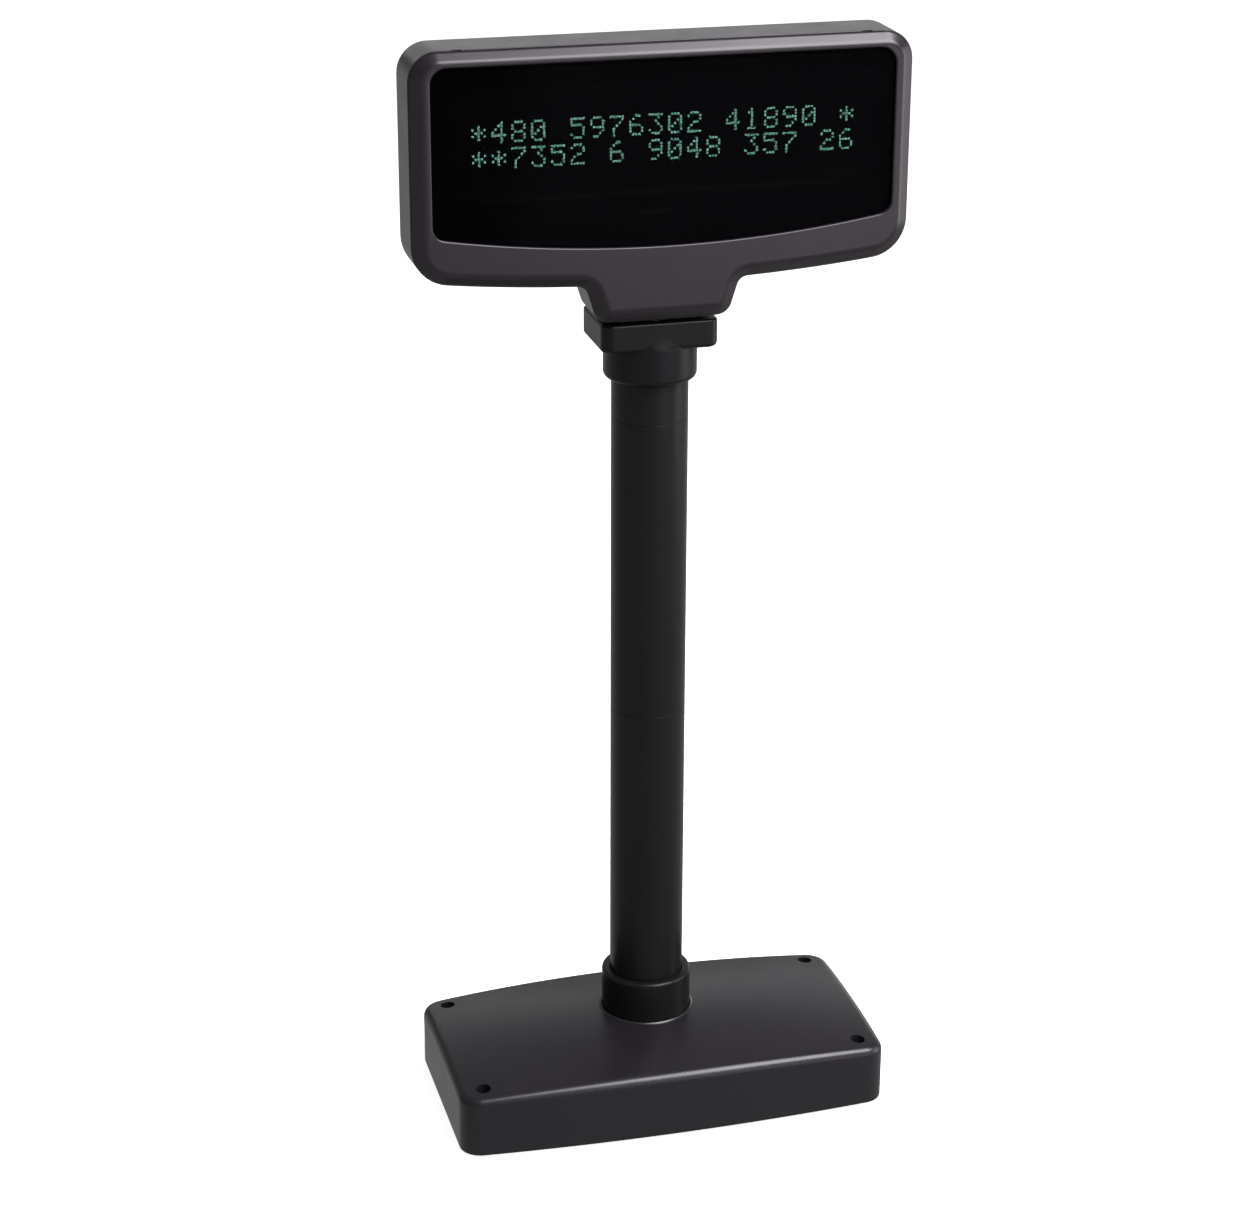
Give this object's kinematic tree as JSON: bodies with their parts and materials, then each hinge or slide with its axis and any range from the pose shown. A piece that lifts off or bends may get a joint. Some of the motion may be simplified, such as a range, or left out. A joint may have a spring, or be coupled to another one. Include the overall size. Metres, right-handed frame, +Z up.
{
  "type": "customer pole display",
  "caption": "Two-line text display in a slim head that tilts and swivels on a sectioned upright pole, standing in a weighted rectangular base.",
  "frame": {"origin": "under the middle of the base, on the surface that the rubber feet stand on", "axes": "+Z up along the pole, -Y towards the person who reads the display, +X to that person's right"},
  "size_m": [0.2172, 0.1068, 0.4976],
  "materials": {
    "case": "fine satin charcoal moulded plastic",
    "tube": "smooth black satin tube",
    "filter": "dark polished filter",
    "glass": "clear glass",
    "board": "green solder mask",
    "chip": "black moulded epoxy",
    "connector": "natural nylon",
    "copper": "copper coloured",
    "cord": "soft black jacket",
    "rubber": "black rubber",
    "steel": "zinc plated",
    "screw": "black oxide"
  },
  "bodies": {
    "stand": {"base_cover": "case", "base_plate": "steel", "pole_socket": "tube", "socket_screw_1": "screw", "socket_screw_2": "screw", "socket_screw_3": "screw", "base_screw_1": "screw", "base_screw_2": "screw", "base_screw_3": "screw", "base_screw_4": "screw", "rubber_foot_1": "rubber", "rubber_foot_2": "rubber", "rubber_foot_3": "rubber", "rubber_foot_4": "rubber", "pole_lower": "tube", "pole_middle": "tube", "pole_top": "tube", "pole_harness": "cord", "cable_grommet": "rubber", "cable_clamp": "connector", "clamp_screw": "screw"},
    "swivel": {"swivel_block": "case", "swivel_washer": "steel", "swivel_nut": "steel", "tilt_bracket": "steel", "bracket_screw_1": "screw", "bracket_screw_2": "screw", "bracket_screw_3": "screw", "bracket_screw_4": "screw"},
    "head": {"front_bezel": "case", "rear_cover": "case", "friction_washer_left": "steel", "friction_washer_right": "steel", "tilt_nut_left": "steel", "tilt_nut_right": "steel", "board_screw_1": "screw", "board_screw_2": "screw", "board_screw_3": "screw", "board_screw_4": "screw", "case_screw_1": "screw", "case_screw_2": "screw", "case_screw_3": "screw", "case_screw_4": "screw", "tilt_pin_left": "screw", "tilt_pin_right": "screw", "head_harness": "cord", "filter_window": "filter", "vfd_rear_glass": "filter", "vfd_front_glass": "glass", "vfd_spacer_frame": "glass", "vfd_lead_frame": "copper", "converter_transformer": "copper", "driver_board": "board", "controller_chip": "chip", "driver_chip_left": "chip", "driver_chip_right": "chip", "filter_capacitor": "chip", "board_header": "connector", "head_plug": "connector"}
  },
  "joints": [
    {"name": "head_swivel", "type": "hinge", "parent": "stand", "child": "swivel", "pos_m": [0, 0.009, 0.3555], "axis": [0, 0, 1], "range_deg": [-165, 165]},
    {"name": "head_tilt", "type": "hinge", "parent": "swivel", "child": "head", "pos_m": [0, 0.009, 0.3922], "axis": [-1, 0, 0], "range_deg": [0, 30]}
  ]
}
